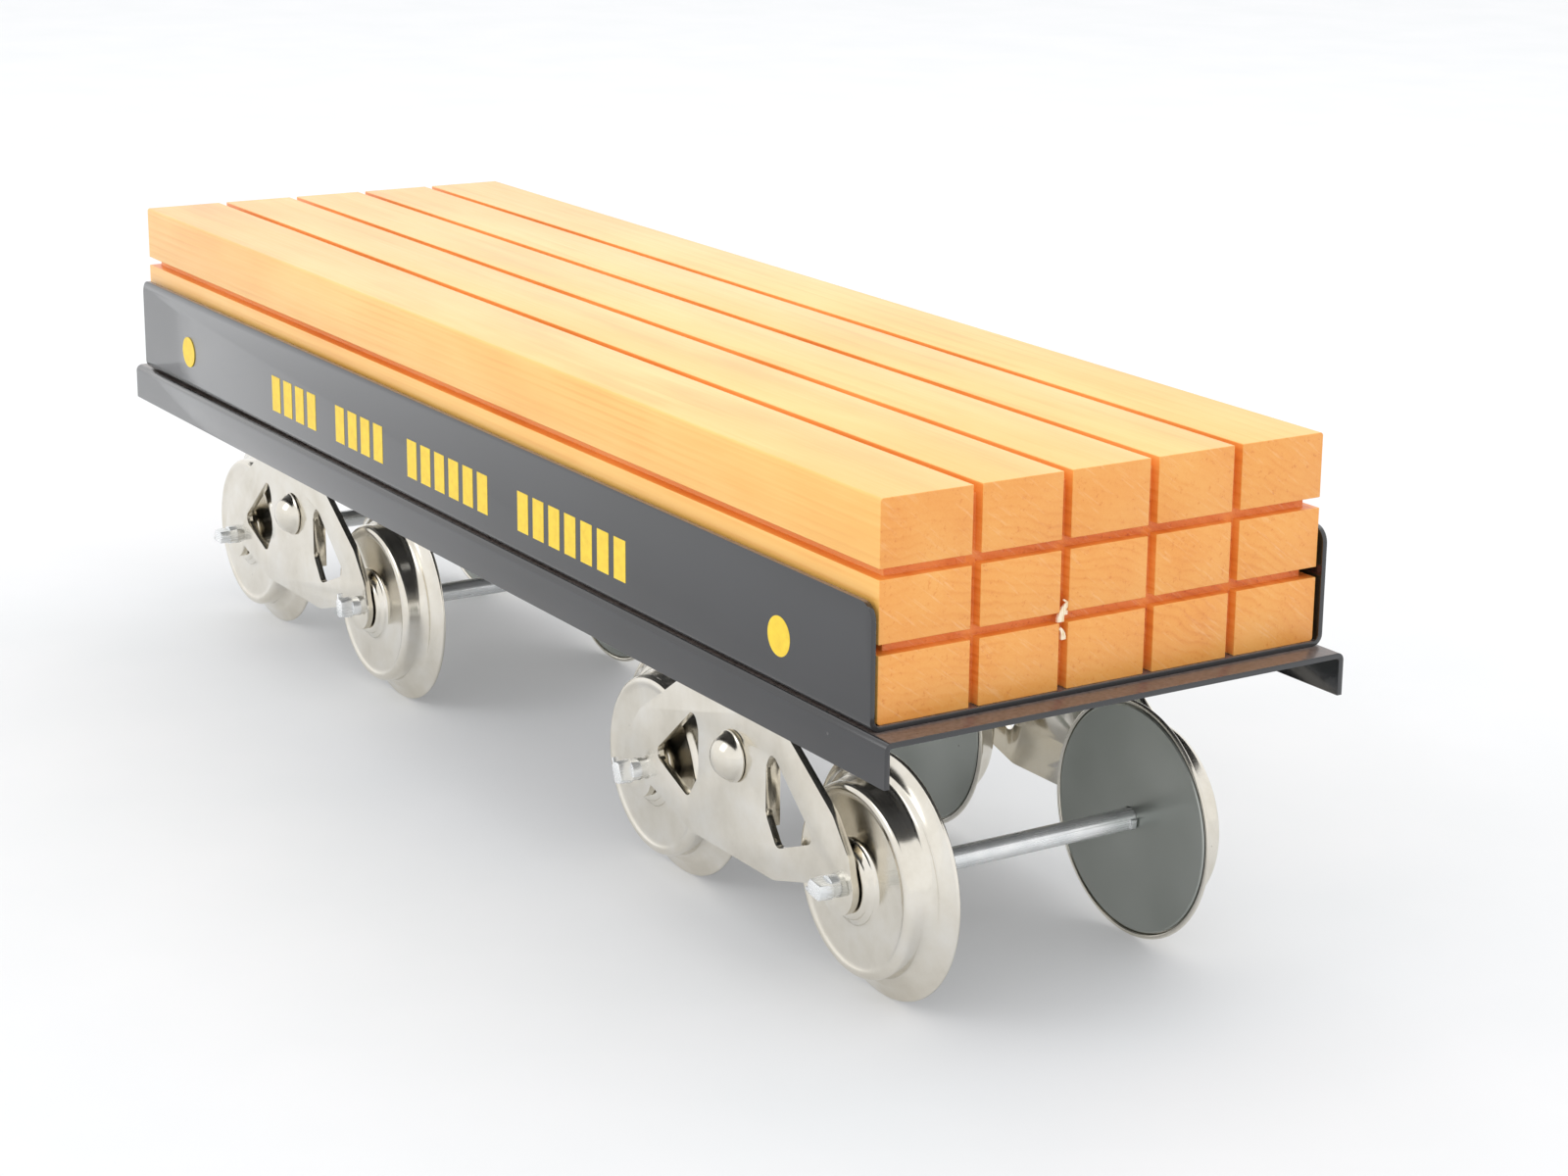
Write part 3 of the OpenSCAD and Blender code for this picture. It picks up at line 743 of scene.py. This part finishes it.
# %% Axles and hidden fasteners
for end in ("front", "rear"):
    for axle in ("outer", "inner"):
        node = f"{end}_{axle}_axle"
        finish_piece(softened_copy(node, node + "_rod", 0.12), f"{end}_truck", "zinc_steel", zinc, node)
    for node in (f"{end}_kingpin", f"{end}_washer"):
        nodes[node].data.materials.clear()
        nodes[node].data.materials.append(zinc)
nodes["load_screws"].data.materials.clear()
nodes["load_screws"].data.materials.append(zinc)

# %% [markdown]
# ## The torn splinter
#
# Where a saw cut crosses an earlier one it has no wood behind it, and on one end of the block it tore
# out a few fibres. They are raw inside, so they stay pale. Each one is grown like a plant: the tip
# face is pushed out, turned a little and drawn in, again and again, which gives a tapering curl with
# clean four-sided faces.

# %% Raw fibre and its curls
def make_raw_fibre():
    material, tree, shader, coords = begin_material("raw_torn_softwood_fibre", Roughness=0.7)
    streak = put(tree, "ShaderNodeTexNoise", {"Vector": stretched(tree, coords, (4, 4, 0.6)), "Scale": 1.0,
                                              "Detail": 3.0})
    tint = ramp(tree, streak.outputs["Fac"], [(0.35, colour("#e8cfa0")), (0.6, colour("#fff3dc"))])
    tree.links.new(tint, shader.inputs["Base Color"])
    strands = put(tree, "ShaderNodeBump", {"Height": streak.outputs["Fac"], "Strength": 0.4,
                                           "Distance": 0.05 * MM})
    tree.links.new(strands.outputs["Normal"], shader.inputs["Normal"])
    return material


def grow_curl(name, foot, size, push, turn, shrink, steps):
    """Grows a curl from foot: every step pushes the tip face on, turns it about X and draws it in."""
    bpy.ops.object.select_all(action="DESELECT")
    bpy.ops.mesh.primitive_cube_add(size=1.0, location=[c * MM for c in foot], scale=[c * MM for c in size])
    curl = bpy.context.object
    curl.name = curl.data.name = name
    bpy.ops.object.transform_apply(location=True, rotation=True, scale=True)
    bpy.ops.object.mode_set(mode="EDIT")
    bpy.ops.mesh.select_all(action="DESELECT")
    bpy.ops.object.mode_set(mode="OBJECT")
    tip = max(curl.data.polygons, key=lambda face: face.center.z)
    tip.select = True
    way = Vector(push) * MM
    bpy.ops.object.mode_set(mode="EDIT")
    bpy.ops.mesh.select_mode(type="FACE")
    centre = tip.center.copy()
    for _ in range(steps):
        bpy.ops.mesh.extrude_region_move(TRANSFORM_OT_translate={"value": way})
        centre += way
        bpy.ops.transform.rotate(value=-turn, orient_axis="X", center_override=centre)
        bpy.ops.transform.resize(value=(shrink, shrink, shrink), center_override=centre)
        way.rotate(Matrix.Rotation(turn, 3, "X"))
        way *= 0.92
    bpy.ops.object.mode_set(mode="OBJECT")
    return curl


def join_up(pieces, name):
    only(pieces[0])
    for piece in pieces:
        piece.select_set(True)
    bpy.ops.object.join()
    pieces[0].name = pieces[0].data.name = name
    return pieces[0]


raw_fibre = make_raw_fibre()
curls = [
    grow_curl("curl", (151.6, -9.0, 69.6), (0.5, 1.3, 0.6), (0.12, 0.1, 0.8), math.radians(-14), 0.86, 6),
    grow_curl("curl", (151.5, -7.9, 70.6), (0.4, 0.7, 0.5), (0.10, 0.2, 0.6), math.radians(22), 0.84, 5),
    grow_curl("curl", (151.8, -8.5, 66.6), (0.5, 1.0, 0.5), (0.06, -0.1, 0.5), math.radians(12), 0.8, 4),
]
splinter = finish_piece(join_up(curls, "torn_splinter"), "car", "stained_wood", raw_fibre)
print("splinter faces:", len(splinter.data.polygons))

# %% [markdown]
# ## Painted marks
#
# A real car of this kind carries its owner's name along the tray in yellow. Here the name is replaced
# by plain upright bars, set in groups, with a plain round spot near each end.

# %% Marks
wall_low, wall_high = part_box("load_tray")
MARK_Z, MARK_H, BAR_W, BAR_GAP, FILM = 65.9, 7.6, 4.2, 1.9, 0.04
GROUPS = ((-67.5, 4), (-35.0, 4), (5.0, 6), (55.0, 7))
SPOT_X, SPOT_R = 126.0, 3.4


def mark_bar(name, x, z, width, height, side):
    bpy.ops.object.select_all(action="DESELECT")
    place = (x * MM, side * (wall_high.y + FILM * MM / 2), z * MM)
    bpy.ops.mesh.primitive_cube_add(size=1.0, location=place, scale=(width * MM, FILM * MM, height * MM))
    bar = bpy.context.object
    bar.name = name
    bpy.ops.object.transform_apply(location=True, rotation=True, scale=True)
    return bar


for side_name, side in (("left", 1), ("right", -1)):
    bars = []
    for middle, count in GROUPS:
        for i in range(count):
            x = side * -1 * (middle + (i - (count - 1) / 2) * (BAR_W + BAR_GAP))
            bars.append(mark_bar("bar", x, MARK_Z, BAR_W, MARK_H, side))
    for x in (-SPOT_X, SPOT_X):
        place = (x * MM, side * (wall_high.y + FILM * MM / 2), MARK_Z * MM)
        bpy.ops.object.select_all(action="DESELECT")
        bpy.ops.mesh.primitive_cylinder_add(vertices=64, radius=SPOT_R * MM, depth=FILM * MM,
                                            location=place,
                                            rotation=(math.radians(90), 0, 0))
        spot = bpy.context.object
        bpy.ops.object.transform_apply(location=True, rotation=True, scale=True)
        bars.append(spot)
    marks = join_up(bars, f"tray_marks_{side_name}")
    finish_piece(marks, "car", "black_enamel", yellow_paint)
print("bars on each wall:", sum(count for _, count in GROUPS))

# %% [markdown]
# ## The floor's finish
#
# The floor is a white light table: matt, with a very faint tooth, and lit a little from inside, which
# lifts the shadows.

# %% Light table
def make_table():
    material, tree, shader, coords = begin_material("matt_white_light_table", Roughness=0.75,
                                                    Emission_Strength=0.21)
    tooth = put(tree, "ShaderNodeTexNoise", {"Vector": stretched(tree, coords, (1, 1, 1)), "Scale": 0.02,
                                             "Detail": 3.0})
    tint = ramp(tree, tooth.outputs["Fac"], [(0.3, colour("#cbcdcf")), (0.7, colour("#cfd0d2"))])
    tree.links.new(tint, shader.inputs["Base Color"])
    shader.inputs["Emission Color"].default_value = (1.0, 1.0, 1.0, 1.0)
    return material


floor.data.materials.append(make_table())
